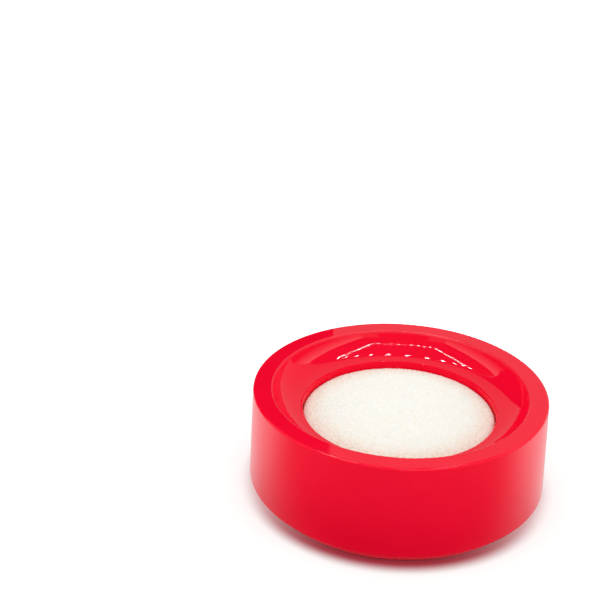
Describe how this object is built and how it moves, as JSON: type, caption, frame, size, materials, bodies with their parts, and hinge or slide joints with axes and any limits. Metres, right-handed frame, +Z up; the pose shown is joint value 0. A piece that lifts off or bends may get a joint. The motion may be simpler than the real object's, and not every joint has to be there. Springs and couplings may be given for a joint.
{
  "type": "finger moistener",
  "caption": "Round desk finger moistener: a glossy plastic cup with a flat rim and a hollow cove round a lift-out sponge, over a water tub, a snap-in base and foot pads.",
  "frame": {"origin": "middle of the cup on the surface that its foot pads stand on", "axes": "+Z up along the cup's axis, -Y towards the viewer of the picture, +X to that viewer's right"},
  "size_m": [0.085, 0.085, 0.03],
  "materials": {
    "shell_plastic": "gloss",
    "tub_plastic": "satin",
    "foot_rubber": "matte",
    "sponge_foam": "matte"
  },
  "bodies": {
    "cup": {"body_shell": "shell_plastic", "water_cup": "tub_plastic", "base_cover": "tub_plastic", "foot_pad_front_left": "foot_rubber", "foot_pad_front_right": "foot_rubber", "foot_pad_rear_right": "foot_rubber", "foot_pad_rear_left": "foot_rubber"},
    "sponge": {"sponge": "sponge_foam"}
  },
  "joints": [
    {"name": "sponge_lift", "type": "slide", "parent": "cup", "child": "sponge", "axis": [0, 0, 1], "range_m": [0, 0.03]}
  ]
}
